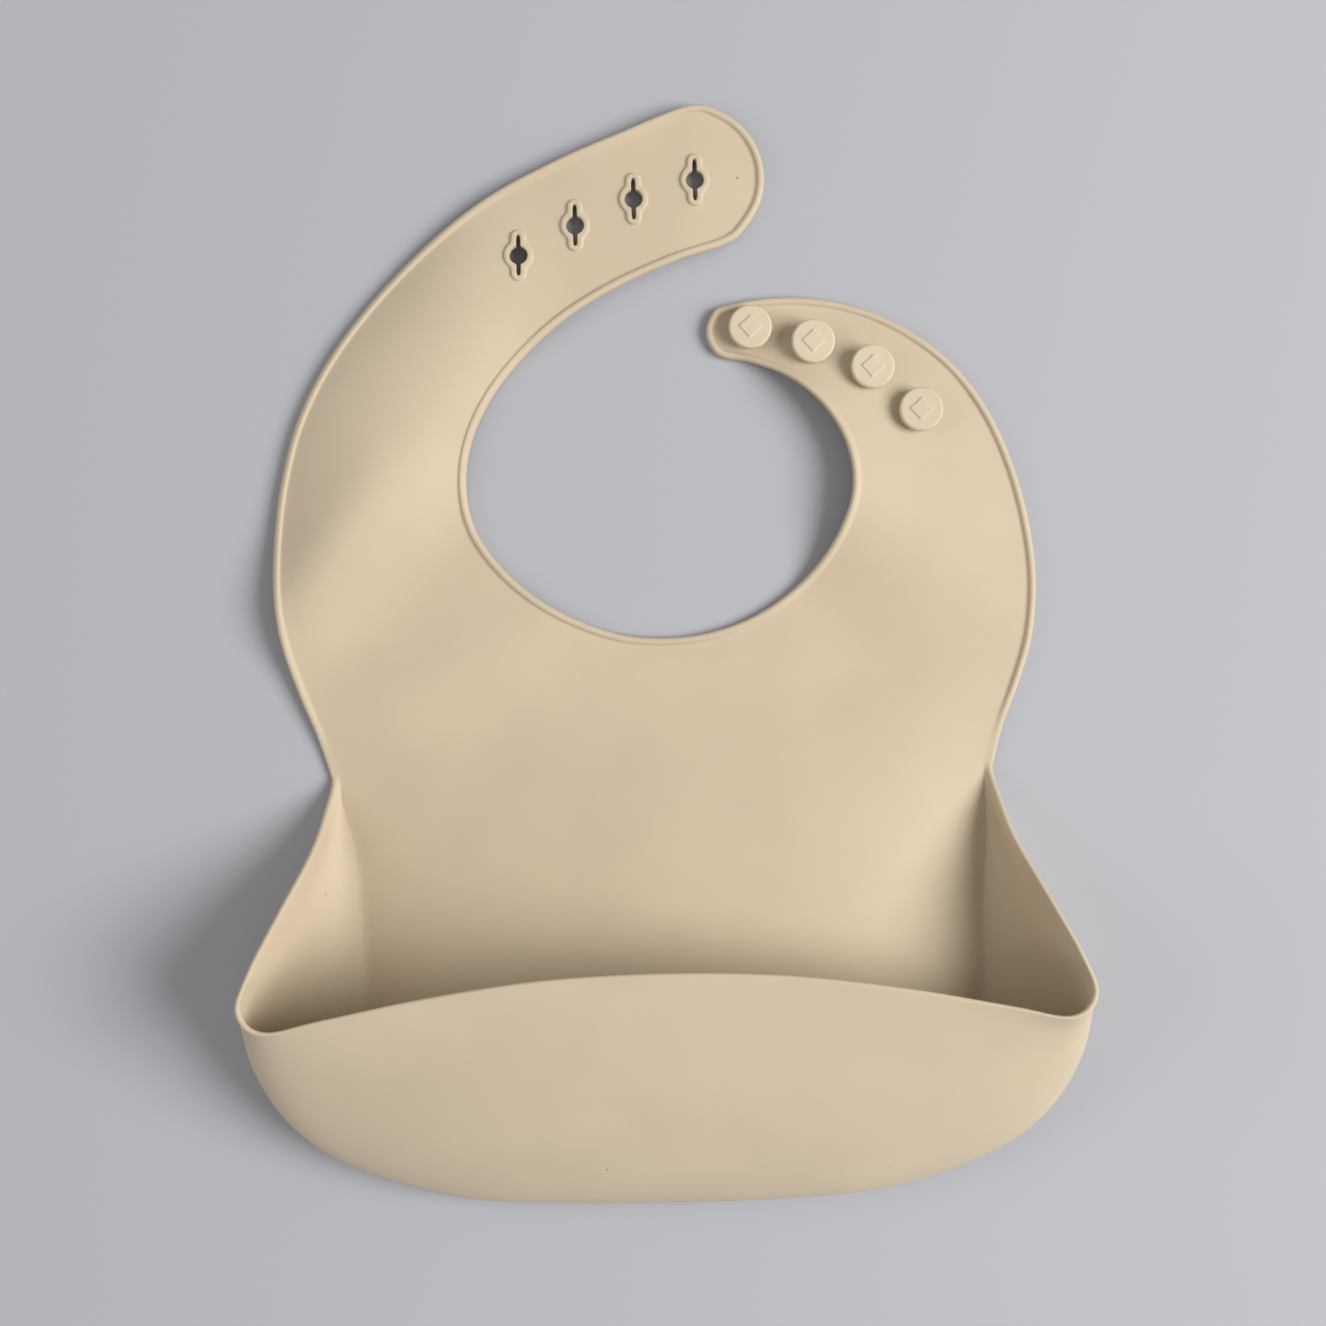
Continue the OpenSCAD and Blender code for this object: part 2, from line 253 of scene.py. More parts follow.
# Two soft folds: crest's centre, its turn, width and length
LEFT_RIDGE = (-93, 25), 50, 14, 38
CHEST_SWELL = (-66, -12), 30, 18, 42


def turn_about_neck(x, y):
    return np.degrees(np.arctan2(y - NECK_CENTRE[1], x - NECK_CENTRE[0])) % 360


def outline_radius(line):
    """Angles and radii of an outline about the neck's centre, sorted by angle."""
    r = np.hypot(line[:, 0] - NECK_CENTRE[0], line[:, 1] - NECK_CENTRE[1])
    a = turn_about_neck(line[:, 0], line[:, 1])
    order = np.argsort(a)
    return a[order], r[order]


# Samples of the edge at which one part of the outline ends and the next begins
outer_to = len(LEFT_OUTER) * EDGE_STEPS
neck_from = outer_to + len(TAB_END) * EDGE_STEPS
neck_to = neck_from + len(NECKLINE) * EDGE_STEPS
tip_to = neck_to + len(TIP_END) * EDGE_STEPS
outer_line = np.vstack([edge[: outer_to + 2 * EDGE_STEPS], edge[tip_to:]])
outer_polar = outline_radius(outer_line)
neck_polar = outline_radius(edge[neck_from:neck_to])
right_crease = crease[: len(crease) // 2 + 1][::-1]
right_crease = np.stack([right_crease[:, 0] - sideways(right_crease[:, 1]), right_crease[:, 1]], 1)


def ridge(x, y, centre, turn, width, length):
    """A long low hump, for one soft fold: its crest runs at the angle turn."""
    c, s = math.cos(math.radians(turn)), math.sin(math.radians(turn))
    u = (x - centre[0]) * c + (y - centre[1]) * s
    v = -(x - centre[0]) * s + (y - centre[1]) * c
    return np.exp(-((u / length) ** 2) - (v / width) ** 2)


def crown(x, y):
    """Share of the crown: 1 along a crest right of the middle, 0 at the creases and at both ends."""
    half_w = np.interp(y, right_crease[:, 1], right_crease[:, 0])
    half_w = half_w + CROWN_SPREAD * smooth(WAIST_Y, CROWN_SPREAD_END, y)
    across = np.clip((x - sideways(y)) / np.maximum(half_w, 1), -1, 1)
    away = np.where(across < CROWN_CREST, CROWN_CREST - across, across - CROWN_CREST)
    reach = np.where(across < CROWN_CREST, 1 + CROWN_CREST, 1 - CROWN_CREST)
    return (1 - (away / reach) ** CROWN_POWER) * between(y, *CROWN_RANGE)


def upper_lift(x, y):
    """Height of the part above the waist: arched and raised straps, and two soft folds."""
    angle = turn_about_neck(x, y)
    r = np.hypot(x - NECK_CENTRE[0], y - NECK_CENTRE[1])
    inner = np.interp(angle, *neck_polar, period=360)
    outer = np.interp(angle, *outer_polar, period=360)
    u = np.clip((r - inner) / (outer - inner), 0, 1)
    arch = STRAP_ARCH_H * 4 * u * (1 - u) * between(angle, *LONG_STRAP_TURNS)
    tab = TAB_LIFT * between(angle, *TAB_TURNS)
    from_right = np.where(angle > 180, angle - 360, angle)
    right = RIGHT_NECK_LIFT * (1 - u) ** RIGHT_NECK_POWER * between(from_right, *RIGHT_NECK_TURNS)
    left = LEFT_RIDGE_H * ridge(x, y, *LEFT_RIDGE)
    swell = CHEST_SWELL_H * ridge(x, y, *CHEST_SWELL)
    return arch + tab + right + left + swell


def lift(x, y):
    """Height of the sheet's underside over the table."""
    x, y = np.asarray(x, float), np.asarray(y, float)
    return CROWN_H * crown(x, y) + smooth(*UPPER_RANGE, y) * upper_lift(x, y)


# ---- the skin's parts, kept as one list of points and labelled faces ----
points = []
faces = []
labels = []


def add_points(p):
    start = sum(len(q) for q in points)
    points.append(np.asarray(p, float))
    return start


def add_faces(new, label):
    faces.extend(new)
    labels.extend(label if isinstance(label, list) else [label] * len(new))


# Profile of the edge from the underside round to the top: distance from the edge and height
EDGE_R = 0.9
PLAIN = [
    (BAND_W, 0), *arc((EDGE_R, EDGE_R), EDGE_R, np.linspace(270, 90, 9)),
    (1.3, 1.8), (1.7, 1.8), (2.1, 1.8), (2.5, 1.8), (BAND_W, 1.8),
]
BEADED = [
    (BAND_W, 0), (0.6, 0), (0.28, 0.1), (0.08, 0.35), (0, 0.8), (0, 1.5), (0.08, 2.1), (0.32, 2.52),
    (0.72, 2.76), (1.15, 2.8), (1.58, 2.68), (1.9, 2.38), (2.12, 2.02), (2.4, 1.84), (BAND_W, 1.8),
]
# The bead grows out of the plain edge over these distances from the waist
BEAD_RANGE = (2, 24)
profile_n = len(PLAIN)
normals = inward_normals(edge)
steps = np.linalg.norm(np.diff(edge, axis=0), axis=1)
along = np.concatenate([[0], np.cumsum(steps)])
from_waist = np.minimum(along, along[-1] - along)
bead_share = smooth(*BEAD_RANGE, from_waist)[:, None]
plain, beaded = np.array(PLAIN), np.array(BEADED)
profile_d = plain[None, :, 0] * (1 - bead_share) + beaded[None, :, 0] * bead_share
profile_z = plain[None, :, 1] * (1 - bead_share) + beaded[None, :, 1] * bead_share
band_xy = edge[:, None, :] + normals[:, None, :] * profile_d[..., None]


# ---- where the skin is parted ----
def sample_near(x, y, lo, hi):
    """The sample of the edge, from lo to hi, that is nearest to a place."""
    d = np.linalg.norm(edge[lo:hi] - np.array([x, y]), axis=1)
    return lo + int(d.argmin())


CUT_UNDER_FOLD = 14
CUT_STEPS = 36
count = len(edge)
part_y = STRAP_FOLD_Y - CUT_UNDER_FOLD
cut_a = sample_near(-107, part_y, 0, outer_to)
cut_b = sample_near(-94, 78, 0, outer_to)
cut_b_in = sample_near(-46, 71, neck_from, neck_to)
cut_a_in = sample_near(-40, part_y, neck_from, neck_to)
cut_c_in = sample_near(40, part_y, neck_from, neck_to)
cut_c = sample_near(107, part_y, neck_to, count)
CUTS = [(cut_a, cut_a_in), (cut_b, cut_b_in), (cut_c, cut_c_in)]
cut_lines = [np.linspace(ring[a], ring[b], CUT_STEPS) for a, b in CUTS]


def band_zone(i):
    if i < cut_a or cut_a_in <= i < cut_c_in or i >= cut_c:
        return "body"
    if cut_b <= i < cut_b_in:
        return "tab"
    return "strap" if i < cut_a_in else "short"


def beyond(p, a, b):
    """True to the left of the line from a to b."""
    return (b[0] - a[0]) * (p[:, 1] - a[1]) - (b[1] - a[1]) * (p[:, 0] - a[0]) > 0


# The gap between the ends of the two straps: its height at x = 0 and its slope
GAP_Y = 101
GAP_SLOPE = 0.1


def middle_zones(p):
    """The piece that each place on the flat sheet belongs to."""
    zone = np.full(len(p), "body", dtype=object)
    over_gap = p[:, 1] > GAP_Y + GAP_SLOPE * p[:, 0]
    strap = (p[:, 0] < 30) & beyond(p, ring[cut_a], ring[cut_a_in])
    tab = beyond(p, ring[cut_b], ring[cut_b_in]) & (over_gap | (p[:, 0] < 10))
    short = (p[:, 0] > 0) & ~over_gap & beyond(p, ring[cut_c_in], ring[cut_c]) & (p[:, 1] > part_y - 8)
    zone[strap] = "strap"
    zone[tab] = "tab"
    zone[short] = "short"
    return list(zone)


# ---- the pocket's wall ----
WALL_ROWS = 36
RIM_STEPS = 8
# In stations from the waist: where the rim thins. As shares of the curve: where the thickness
# turns from upright to square to the wall, and where the wall thins to its rim.
THIN_FROM_WAIST = (0, 2)
TURN_RANGE = (0, 0.12)
THIN_RANGE = (0, 0.5)


def bezier(c, t):
    """Places on a curve of four points, and its direction there."""
    t = t[None, :, None]
    p = [c[:, None, k] for k in range(4)]
    place = (1 - t) ** 3 * p[0] + 3 * t * (1 - t) ** 2 * p[1] + 3 * t * t * (1 - t) * p[2] + t**3 * p[3]
    slope = (1 - t) ** 2 * (p[1] - p[0]) + 2 * t * (1 - t) * (p[2] - p[1]) + t * t * (p[3] - p[2])
    return place, slope


def wall():
    """Rows of the pocket's wall for each column: outside up to the rim, round it, and back down inside."""
    u = np.arange(column_n) / COLUMN_STEPS
    from_end = np.minimum(u, u[-1] - u)
    rim_t = SHEET_T + (RIM_T - SHEET_T) * smooth(*THIN_FROM_WAIST, from_end)
    rim_speed = 3 * np.linalg.norm(columns[:, 3] - columns[:, 2], axis=1)
    t_end = 1 - rim_t / 2 / rim_speed
    share = np.linspace(0, 1, WALL_ROWS + 1)
    up = np.array([0, 0, 1.0])
    out = []
    for j in range(column_n):
        t = share * t_end[j]
        place, slope = bezier(columns[j : j + 1], t)
        place, slope = place[0], unit(slope[0])
        side = unit(np.cross(columns[j, 4], slope))
        turn = smooth(*TURN_RANGE, t)[:, None]
        side = unit(up * (1 - turn) + side * turn)
        thick = SHEET_T + (rim_t[j] - SHEET_T) * smooth(*THIN_RANGE, t)[:, None]
        rounds = [
            (place[-1] + side[-1] * thick[-1] / 2)
            + thick[-1] / 2 * (math.sin(a) * slope[-1] - math.cos(a) * side[-1])
            for a in np.linspace(0, math.pi, RIM_STEPS + 1)[1:-1]
        ]
        out.append(np.vstack([place, rounds, (place + side * thick)[::-1]]))
    return np.array(out)


shell = wall()


def build_band():
    """The strip along the whole edge, with its bead."""
    z = profile_z + lift(band_xy[..., 0], band_xy[..., 1])
    start = add_points(np.dstack([band_xy, z]).reshape(-1, 3))
    for i in range(count - 1):
        a, b = start + i * profile_n, start + (i + 1) * profile_n
        quads = [(a + k, a + k + 1, b + k + 1, b + k) for k in range(profile_n - 1)]
        add_faces(quads, band_zone(i))
    return start


def keyhole_radius(angle, grow):
    """Radius of the keyhole's outline, a circle and an upright slit, grown by a distance."""
    c, s = np.abs(np.cos(angle)), np.abs(np.sin(angle))
    w = SLIT_W / 2 + grow
    reach = (SLIT_L - SLIT_W) / 2
    side = w / np.maximum(c, 1e-9)
    cap = reach * s + np.sqrt(np.maximum(w * w - (reach * c) ** 2, 0))
    slit = np.where(side * s <= reach, side, cap)
    soft = 0.35 + 0.5 * grow
    round_r = HOLE_R + grow
    return np.maximum(slit, round_r) + soft * np.exp(-np.abs(slit - round_r) / soft) * 0.35


# Section of a collar from the hole's wall out to the sheet: growth of the outline and height
COLLAR = [
    (0.12, 0), (0, 0.15), (0, 2.3), (0.1, 2.5), (0.3, 2.6), (0.95, 2.6), (1.2, 2.52), (1.36, 2.32),
    (1.45, 1.98), (1.62, 1.83), (1.9, 1.8),
]
COLLAR_POINTS = 72


def keyhole_angles():
    """Angles that put points at even distances along a collar."""
    fine = np.linspace(0, 2 * math.pi, 1441)
    r = keyhole_radius(fine, COLLAR_W / 2)
    line = np.stack([r * np.cos(fine), r * np.sin(fine)], 1)
    s = np.concatenate([[0], np.cumsum(np.linalg.norm(np.diff(line, axis=0), axis=1))])
    return np.interp(np.linspace(0, s[-1], COLLAR_POINTS + 1)[:-1], s, fine)


hole_angles = keyhole_angles()
hole_dirs = np.stack([np.cos(hole_angles), np.sin(hole_angles)], 1)


def build_collar(centre):
    """The raised collar and the wall of one keyhole; gives its inner and outer outline."""
    rows = [(centre + hole_dirs * keyhole_radius(hole_angles, g)[:, None], z) for g, z in COLLAR]
    mesh = [np.column_stack([xy, z + lift(xy[:, 0], xy[:, 1])]) for xy, z in rows]
    start = add_points(np.vstack(mesh))
    n = COLLAR_POINTS
    for r in range(len(rows) - 1):
        quads = [
            (start + r * n + k, start + (r + 1) * n + k, start + (r + 1) * n + (k + 1) % n,
             start + r * n + (k + 1) % n)
            for k in range(n)
        ]
        add_faces(quads, "tab")
    return rows[0][0], rows[-1][0]


def inside(p, loop):
    """True for the points inside a closed outline."""
    x, y = p[:, 0][:, None], p[:, 1][:, None]
    a, b = loop, np.roll(loop, -1, axis=0)
    hit = ((a[:, 1] > y) != (b[:, 1] > y)) & (
        x < (b[:, 0] - a[:, 0]) * (y - a[:, 1]) / (b[:, 1] - a[:, 1] + 1e-12) + a[:, 0]
    )
    return hit.sum(1) % 2 == 1


GRID = 2.2
GRID_CLEARANCE = 0.62 * GRID


def loop_edges(loops):
    """Edges of closed loops whose points follow each other, and the number of those points."""
    edges, start = [], 0
    for loop in loops:
        n = len(loop)
        edges += [(start + k, start + (k + 1) % n) for k in range(n)]
        start += n
    return edges, start


def cut_edges(start):
    """Edges along the cuts: their ends are points of the ring, and the others follow from start."""
    cut_ends = {tuple(ring[k]): k for pair in CUTS for k in pair}
    edges = []
    for line in cut_lines:
        n = len(line)
        chain = [cut_ends[tuple(line[0])], *range(start, start + n - 2), cut_ends[tuple(line[-1])]]
        edges += list(zip(chain, chain[1:]))
        start += n - 2
    return edges


def grid_points(border, holes, fixed):
    """A staggered grid inside the border, outside the holes and clear of the fixed points."""
    lo, hi = border.min(0), border.max(0)
    levels = np.arange(lo[1], hi[1], GRID * math.sqrt(3) / 2)
    grid = np.array([
        (x + (GRID / 2 if r % 2 else 0), y)
        for r, y in enumerate(levels) for x in np.arange(lo[0], hi[0], GRID)
    ])
    grid = grid[inside(grid, border)]
    gap = np.array([np.min(np.sum((fixed - g) ** 2, axis=1)) for g in grid])
    grid = grid[gap > GRID_CLEARANCE**2]
    for hole in holes:
        grid = grid[~inside(grid, hole)]
    return grid


def build_middle(holes, z, upward):
    """The flat sheet inside the edge bands, the crease and the keyholes, at height z."""
    border = np.vstack([ring, crease])
    loops = [border] + holes
    fixed = np.vstack(loops + [line[1:-1] for line in cut_lines])
    edges, loop_n = loop_edges(loops)
    edges += cut_edges(loop_n)
    every = np.vstack([fixed, grid_points(border, holes, fixed)])
    out, _, tris, origin, _, _ = delaunay_2d_cdt([tuple(p) for p in every], edges, [], 0, 1e-6)
    xy = np.array([tuple(p) if not o else tuple(every[o[0]]) for p, o in zip(out, origin)])
    middles = np.array([xy[list(t)].mean(0) for t in tris])
    keep = inside(middles, border)
    for hole in holes:
        keep &= ~inside(middles, hole)
    height = z + lift(xy[:, 0], xy[:, 1])
    start = add_points(np.column_stack([xy, height]))
    kept = [tuple(start + v for v in (t if upward else t[::-1])) for t, k in zip(tris, keep) if k]
    add_faces(kept, middle_zones(middles[keep]))


def build_shell():
    """Faces of the pocket's wall."""
    n, m = shell.shape[:2]
    start = add_points(shell.reshape(-1, 3))
    quads = [
        (start + j * m + k, start + j * m + k + 1, start + (j + 1) * m + k + 1, start + (j + 1) * m + k)
        for j in range(n - 1) for k in range(m - 1)
    ]
    add_faces(quads, "pocket")
    return start


def stitch(a_ids, b_ids):
    """Triangles between two lines of points that run side by side."""
    every = np.vstack(points)
    a, b = every[a_ids], every[b_ids]
    i = j = 0
    while i < len(a) - 1 or j < len(b) - 1:
        step_a = j == len(b) - 1 or (
            i < len(a) - 1 and np.linalg.norm(a[i + 1] - b[j]) < np.linalg.norm(a[i] - b[j + 1])
        )
        if step_a:
            add_faces([(a_ids[i], a_ids[i + 1], b_ids[j])], "body")
            i += 1
        else:
            add_faces([(a_ids[i], b_ids[j + 1], b_ids[j])], "body")
            j += 1


band_start = build_band()
hole_pairs = [build_collar(k) for k in keyholes]
build_middle([low for low, _ in hole_pairs], 0, False)
build_middle([top for _, top in hole_pairs], SHEET_T, True)
shell_start = build_shell()
row = shell.shape[1]
left_end = [band_start + k for k in range(profile_n)]
right_end = [band_start + (count - 1) * profile_n + k for k in range(profile_n)]
stitch(right_end, [shell_start + k for k in range(row)])
stitch([shell_start + (column_n - 1) * row + k for k in range(row)], left_end)

# Points of different parts that lie this close together are one point
MERGE_WITHIN = 0.002
all_points = np.vstack(points)
keys = np.round(all_points / MERGE_WITHIN).astype(np.int64)
_, first, merged = np.unique(keys, axis=0, return_index=True, return_inverse=True)
merged = merged.ravel()
skin_points = all_points[first]


def tidy_face(f):
    """A face's merged points, with no point twice in a row."""
    ids = [int(merged[v]) for v in f]
    return [v for k, v in enumerate(ids) if v != ids[k - 1]]


skin_faces = [tidy_face(f) for f in faces]


def point_normals():
    """The whole skin's smooth normals, weighted by the area of each face."""
    total = np.zeros_like(skin_points)
    for f in skin_faces:
        if len(f) < 3:
            continue
        p = skin_points[f]
        n = np.cross(p[1] - p[0], p[2] - p[0]) if len(f) == 3 else np.cross(p[2] - p[0], p[3] - p[1])
        total[f] += n
    return unit(total + 1e-12)


skin_normals = point_normals()


# ---- hidden faces that close each piece where the skin is parted ----
cap_faces = {zone: [] for zone in ("body", "strap", "tab", "short", "pocket")}
FIND_WITHIN = 0.01
point_at = {tuple(k): i for i, k in enumerate(np.round(skin_points / FIND_WITHIN).astype(int))}


def skin_index(xy, z):
    """The skin's point at a place, z above the sheet's underside."""
    place = np.array([xy[0], xy[1], z + float(lift(xy[0], xy[1]))])
    near = np.round(place / FIND_WITHIN).astype(int)
    if tuple(near) in point_at:
        return point_at[tuple(near)]
    return int(np.linalg.norm(skin_points - place, axis=1).argmin())


def cap(zone_a, zone_b, face):
    cap_faces[zone_a].append(face)
    cap_faces[zone_b].append(face)


def cap_strip(zone_a, zone_b, line):
    """Faces from the underside to the top along a line on the flat sheet."""
    low = [skin_index(p, 0) for p in line]
    high = [skin_index(p, SHEET_T) for p in line]
    for k in range(len(line) - 1):
        cap(zone_a, zone_b, [low[k], low[k + 1], high[k + 1], high[k]])


for (a, b), line, zones in zip(
    CUTS, cut_lines, (("body", "strap"), ("strap", "tab"), ("body", "short"))
):
    cap_strip(*zones, line)
    for sample in (a, b):
        start = band_start + sample * profile_n
        cap(*zones, [int(merged[start + k]) for k in range(profile_n)])
cap_strip("body", "pocket", crease)
for column in (0, column_n - 1):
    start = shell_start + column * row
    cap("body", "pocket", [int(merged[start + k]) for k in range(row)])


def add_mesh(name, mesh_points, mesh_faces):
    """A smooth mesh from points in millimetres. It keeps their places at rest, for its material."""
    mesh = bpy.data.meshes.new(name)
    mesh.from_pydata([tuple(q * MM) for q in mesh_points], [], mesh_faces)
    mesh.polygons.foreach_set("use_smooth", [True] * len(mesh.polygons))
    place = mesh.attributes.new("rest_place", "FLOAT_VECTOR", "POINT")
    place.data.foreach_set("vector", (mesh_points * MM).astype(np.float32).ravel())
    return mesh


def add_object(name, mesh):
    o = bpy.data.objects.new(name, mesh)
    bpy.context.collection.objects.link(o)
    return o


def piece(name, zone):
    """One zone of the skin as a closed mesh, lit with the whole skin's normals so that no seam shows."""
    chosen = [f for f, z in zip(skin_faces, labels) if z == zone and len(f) > 2]
    chosen += cap_faces[zone]
    used = sorted({v for f in chosen for v in f})
    index = {v: i for i, v in enumerate(used)}
    mesh = add_mesh(name, skin_points[used], [[index[v] for v in f] for f in chosen])
    shape = bmesh.new()
    shape.from_mesh(mesh)
    bmesh.ops.recalc_face_normals(shape, faces=shape.faces)
    shape.to_mesh(mesh)
    shape.free()
    mesh.normals_split_custom_set([tuple(skin_normals[used[c.vertex_index]]) for c in mesh.loops])
    return add_object(name, mesh)


# ---- studs: a stem, and a rounded head with a low square mark, all on the short strap ----
STUD_R = 6.05
STEM_R = 2.35
HEAD_Z = 4.4
HEAD_H = 2.2
HEAD_EDGE_R = 0.7
MARK_W = 4.8
MARK_H = 0.35
MARK_TURN = 41
MARK_CORNER = 0.6
MARK_BLUR = 0.16
MARK_HOLLOW = 0.07
STEM_FOOT_Z = 0.6
SMALL_R = 0.3
STUD_STEPS = 96
STUD_LINE = [(27.2, 123), (44.8, 118.3), (61.4, 110.4), (74.6, 98), (84, 82)]
stud_line = above_waist + spline(STUD_LINE, FASTENER_STEPS)
studs = [walk(stud_line, i * FASTENER_PITCH) for i in range(FASTENERS)]


def revolve(profile):
    """A closed turned shape from (radius, height) pairs that start and end on the axis."""
    mesh_points = [(0, 0, profile[0][1])]
    angles = [2 * math.pi * k / STUD_STEPS for k in range(STUD_STEPS)]
    for r, z in profile[1:-1]:
        mesh_points += [(r * math.cos(a), r * math.sin(a), z) for a in angles]
    mesh_points.append((0, 0, profile[-1][1]))
    rows, n, top = len(profile) - 2, STUD_STEPS, len(mesh_points) - 1
    mesh_faces = [(0, 1 + (k + 1) % n, 1 + k) for k in range(n)]
    for r in range(rows - 1):
        a, b = 1 + r * n, 1 + (r + 1) * n
        mesh_faces += [(a + k, a + (k + 1) % n, b + (k + 1) % n, b + k) for k in range(n)]
    last = 1 + (rows - 1) * n
    mesh_faces += [(last + k, last + (k + 1) % n, top) for k in range(n)]
    return mesh_points, mesh_faces


def turned_arc(r, z, radius, start, end):
    """Points of a rounding in a turned profile, as (radius, height)."""
    return arc((r, z), radius, np.linspace(start, end, 7))


def stud_profile():
    """Stem and head from the foot up; the top is finely divided, to take the mark."""
    top = HEAD_Z + HEAD_H
    stem = [(0, STEM_FOOT_Z), (STEM_R, STEM_FOOT_Z), (STEM_R, HEAD_Z - SMALL_R), (STEM_R + SMALL_R, HEAD_Z)]
    low = turned_arc(STUD_R - SMALL_R, HEAD_Z + SMALL_R, SMALL_R, -90, 0)
    high = turned_arc(STUD_R - HEAD_EDGE_R, top - HEAD_EDGE_R, HEAD_EDGE_R, 0, 90)
    outer = [(STUD_R * k, top) for k in (0.88, 0.84, 0.8, 0.76, 0.72, 0.68, 0.64, 0.6)]
    inner = [(STUD_R * k, top) for k in np.linspace(0.57, 0.03, 24)]
    return stem + low + high + outer + inner + [(0, top)]


def mark_height(x, y):
    """Low relief on a head: a square with rounded corners and slightly hollow sides."""
    c, s = math.cos(math.radians(MARK_TURN)), math.sin(math.radians(MARK_TURN))
    u, v = np.abs(x * c + y * s), np.abs(-x * s + y * c)
    to_corner = (np.minimum(u, v) / np.maximum(np.maximum(u, v), 1e-6)) ** 2
    flat = MARK_W / 2 * (1 - MARK_HOLLOW + MARK_HOLLOW * to_corner) - MARK_CORNER
    du, dv = np.maximum(u - flat, 0), np.maximum(v - flat, 0)
    outside = np.hypot(du, dv) + np.minimum(np.maximum(u, v) - flat, 0) - MARK_CORNER
    return MARK_H * (1 - smooth(-MARK_BLUR, MARK_BLUR, outside))


def make_stud(number, centre):
    mesh_points, mesh_faces = revolve(stud_profile())
    p = np.array(mesh_points)
    r = np.hypot(p[:, 0], p[:, 1])
    on_top = (p[:, 2] >= HEAD_Z + HEAD_H - 1e-6) & (r < STUD_R * 0.9)
    p[on_top, 2] += mark_height(p[on_top, 0], p[on_top, 1])
    p += [centre[0], centre[1], float(lift(centre[0], centre[1]))]
    name = f"stud_skin_{number}"
    return add_object(name, add_mesh(name, p, mesh_faces))


# ---- materials ----
BODY_COLOUR = (0.612, 0.506, 0.366)
STUD_COLOUR = (0.675, 0.567, 0.418)


SPECK_COLOUR = (0.17, 0.12, 0.08)
CLOUD_DARK = 0.965
CLOUD_LIGHT = 1.03
CLOUD_SCALE = 34
SPECK_SCALE = 62
GRAIN_SCALE = 2600
# Colour sockets of a Mix node, which share their names with its other sockets
MIX_A, MIX_B, MIX_RESULT = 6, 7, 2


def add_node(tree, kind, values=()):
    """A new shader node, with values for some of its sockets."""
    made = tree.nodes.new(kind)
    for socket, value in values:
        made.inputs[socket].default_value = value
    return made


def add_ramp(tree, low, low_colour, high, high_colour):
    made = tree.nodes.new("ShaderNodeValToRGB")
    first, last = made.color_ramp.elements
    first.position = low
    first.color = (*low_colour, 1)
    last.position = high
    last.color = (*high_colour, 1)
    return made


def link(tree, a, out, b, inp):
    tree.links.new(a.outputs[out], b.inputs[inp])


def silicone_colour(tree, place, colour, shader):
    """Faint clouding and a few dark specks in the colour."""
    cloud = add_node(tree, "ShaderNodeTexNoise", [("Scale", CLOUD_SCALE), ("Detail", 3)])
    link(tree, place, "Vector", cloud, "Vector")
    darker = [c * CLOUD_DARK for c in colour]
    lighter = [min(c * CLOUD_LIGHT, 1) for c in colour]
    tint = add_ramp(tree, 0.3, darker, 0.7, lighter)
    link(tree, cloud, "Fac", tint, "Fac")
    cells = add_node(tree, "ShaderNodeTexVoronoi", [("Scale", SPECK_SCALE)])
    link(tree, place, "Vector", cells, "Vector")
    speck = add_ramp(tree, 0.012, (1, 1, 1), 0.02, (0, 0, 0))
    link(tree, cells, "Distance", speck, "Fac")
    mix = tree.nodes.new("ShaderNodeMix")
    mix.data_type = "RGBA"
    mix.inputs[MIX_B].default_value = (*SPECK_COLOUR, 1)
    link(tree, speck, "Color", mix, "Factor")
    link(tree, tint, "Color", mix, MIX_A)
    link(tree, mix, MIX_RESULT, shader, "Base Color")


def silicone_grain(tree, place, shader):
    """The fine texture of the tool, as a bump."""
    grain = add_node(tree, "ShaderNodeTexNoise", [("Scale", GRAIN_SCALE), ("Detail", 4)])
    link(tree, place, "Vector", grain, "Vector")
    relief = add_node(tree, "ShaderNodeBump", [("Strength", 0.12), ("Distance", 0.0001)])
    link(tree, grain, "Fac", relief, "Height")
    link(tree, relief, "Normal", shader, "Normal")


def silicone(name, colour):
    """Matt moulded silicone."""
    m = bpy.data.materials.new(name)
    m.use_nodes = True
    tree = m.node_tree
    shader = tree.nodes["Principled BSDF"]
    shader.inputs["Roughness"].default_value = 0.62
    shader.inputs["Specular IOR Level"].default_value = 0.38
    shader.inputs["IOR"].default_value = 1.41
    shader.inputs["Sheen Weight"].default_value = 0.08
    shader.inputs["Sheen Roughness"].default_value = 0.5
    place = tree.nodes.new("ShaderNodeAttribute")
    place.attribute_name = "rest_place"
    silicone_colour(tree, place, colour, shader)
    silicone_grain(tree, place, shader)
    return m


FLOOR_COLOUR = (0.455, 0.468, 0.505)
FLOOR_SIZE = 30
# Just under the bib's flat underside, so that the two never share a plane
FLOOR_Z = -0.0002


def plain_floor():
    m = bpy.data.materials.new("floor_paper")
    m.use_nodes = True
    shader = m.node_tree.nodes["Principled BSDF"]
    shader.inputs["Base Color"].default_value = (*FLOOR_COLOUR, 1)
    shader.inputs["Roughness"].default_value = 0.85
    bpy.ops.mesh.primitive_plane_add(size=FLOOR_SIZE, location=(0, 0, FLOOR_Z))
    floor = bpy.context.object
    floor.name = "floor"
    floor.data.materials.append(m)


# ---- pieces, and what each stands for ----
body_silicone = silicone("silicone", BODY_COLOUR)
stud_silicone = silicone("silicone_stud", STUD_COLOUR)

POCKET_NODES = [
    "pocket_side_left", "pocket_side_right", "pocket_corner_left", "pocket_corner_right",
    "pocket_bottom", "pocket_front",
]
pocket = piece("pocket_skin", "pocket")
back = piece("back_skin", "body")
strap = piece("long_strap_skin", "strap")
tab = piece("keyhole_tab_skin", "tab")
short = piece("short_strap_skin", "short")
for o in (pocket, back, strap, tab, short):
    o.data.materials.append(body_silicone)

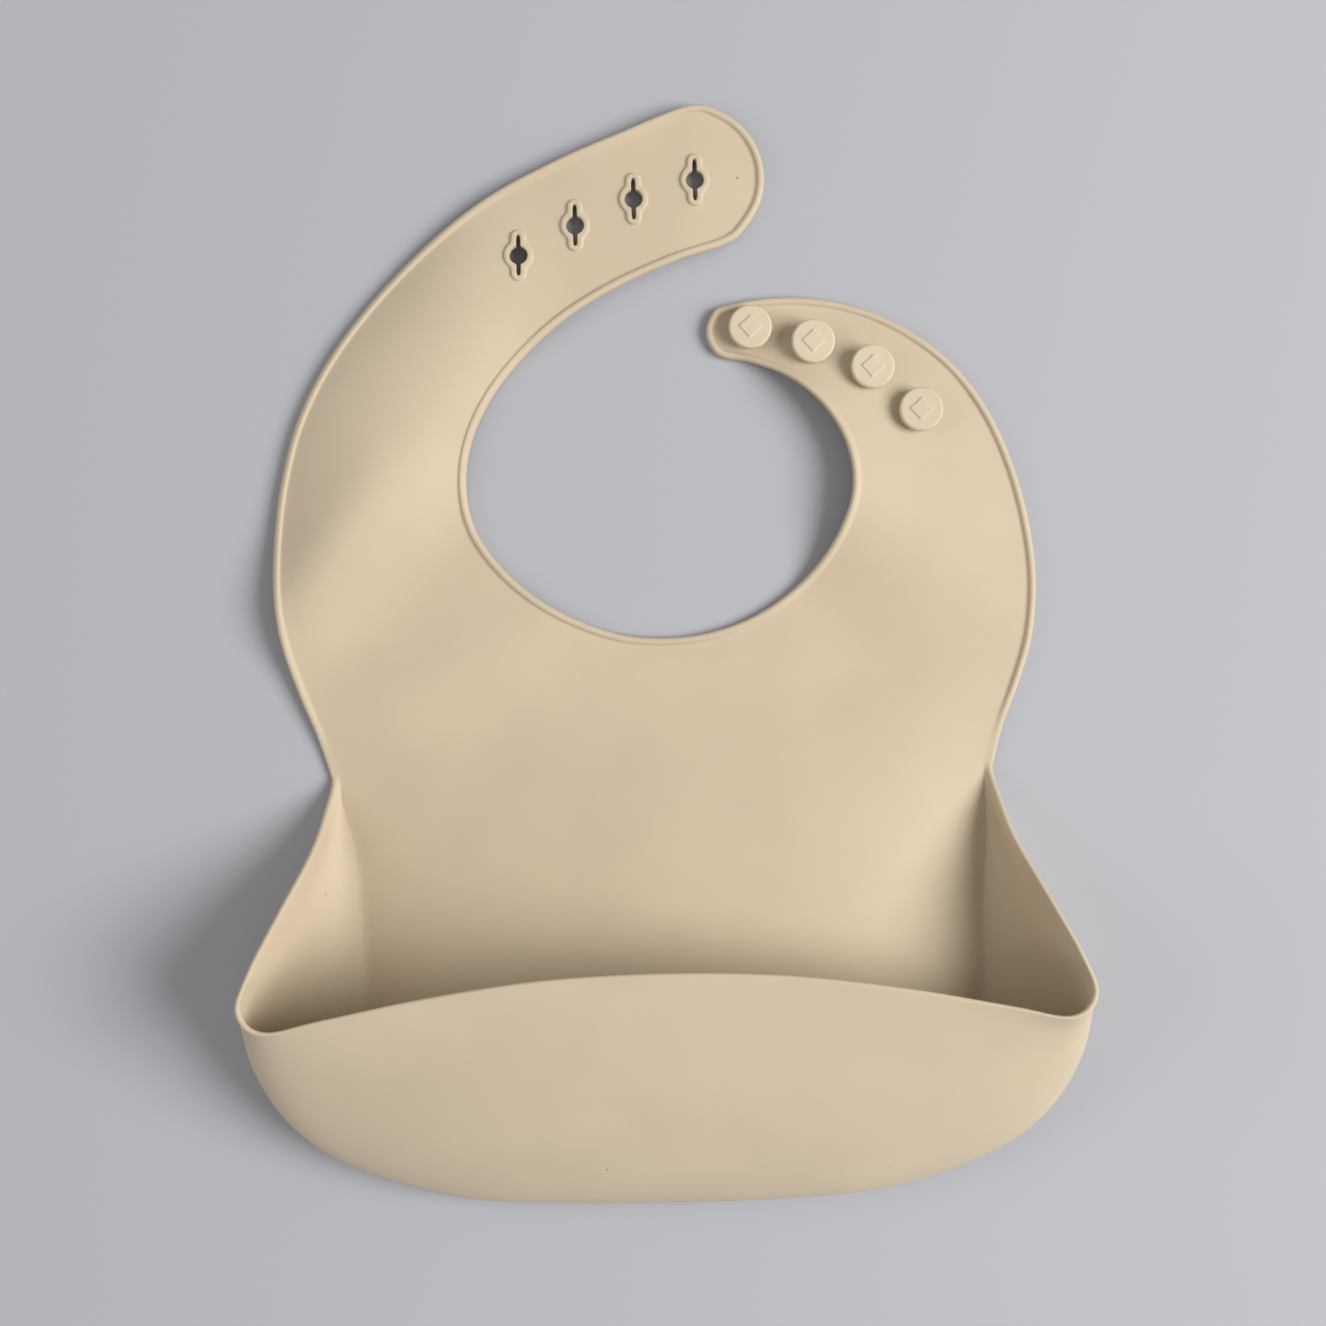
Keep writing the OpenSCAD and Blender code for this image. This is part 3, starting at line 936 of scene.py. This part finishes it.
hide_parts(*POCKET_NODES)
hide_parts("lower_panel", "chest_panel", "neckline_bead", "chest_bead_left", "chest_bead_right")
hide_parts("long_strap", "long_strap_outer_bead", "long_strap_inner_bead")
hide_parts("keyhole_tab", "keyhole_tab_bead", *[f"keyhole_collar_{k + 1}" for k in range(4)])
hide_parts("short_strap", "short_strap_bead")

for k, centre in enumerate(studs):
    stud = make_stud(k + 1, centre)
    stud.data.materials.append(stud_silicone)
    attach(stud, "short_strap")
    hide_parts(f"stud_{k + 1}")


def fold_along_y(o):
    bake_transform(o)


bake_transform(pocket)
fold_along_y(back)
fold_along_y(strap)
fold_along_y(short)
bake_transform(tab)

# ---- stage ----
WORLD_COLOUR = (0.93, 0.935, 0.945)
WORLD_STRENGTH = 0.34
CAMERA_H = 0.5
VIEW_HALF_W = 0.1873
SENSOR_W = 36


def area_light(name, place, size, watts, colour):
    """A round light that faces the origin."""
    data = bpy.data.lights.new(name, "AREA")
    data.shape = "DISK"
    data.size = size
    data.energy = watts
    data.color = colour
    o = bpy.data.objects.new(name, data)
    o.location = place
    bpy.context.collection.objects.link(o)
    o.rotation_euler = Vector(place).to_track_quat("Z", "Y").to_euler()


plain_floor()
area_light("key", (1.5, -0.14, 1.3), 1.25, 43.3, (1.0, 0.985, 0.965))
area_light("fill", (-1.4, 0.1, 0.9), 1.2, 6.0, (1.0, 0.95, 0.9))
world = bpy.data.worlds.new("room")
world.use_nodes = True
background = world.node_tree.nodes["Background"]
background.inputs["Color"].default_value = (*WORLD_COLOUR, 1)
background.inputs["Strength"].default_value = WORLD_STRENGTH
bpy.context.scene.world = world
bpy.context.scene.view_settings.view_transform = "Standard"

camera_data = bpy.data.cameras.new("camera")
camera_data.sensor_width = SENSOR_W
camera_data.lens = SENSOR_W / 2 / (VIEW_HALF_W / CAMERA_H)
camera = bpy.data.objects.new("camera", camera_data)
camera.location = (0.0009, -0.00315, CAMERA_H)
camera.rotation_euler = (0, 0, math.radians(-1.2))
bpy.context.collection.objects.link(camera)
bpy.context.scene.camera = camera
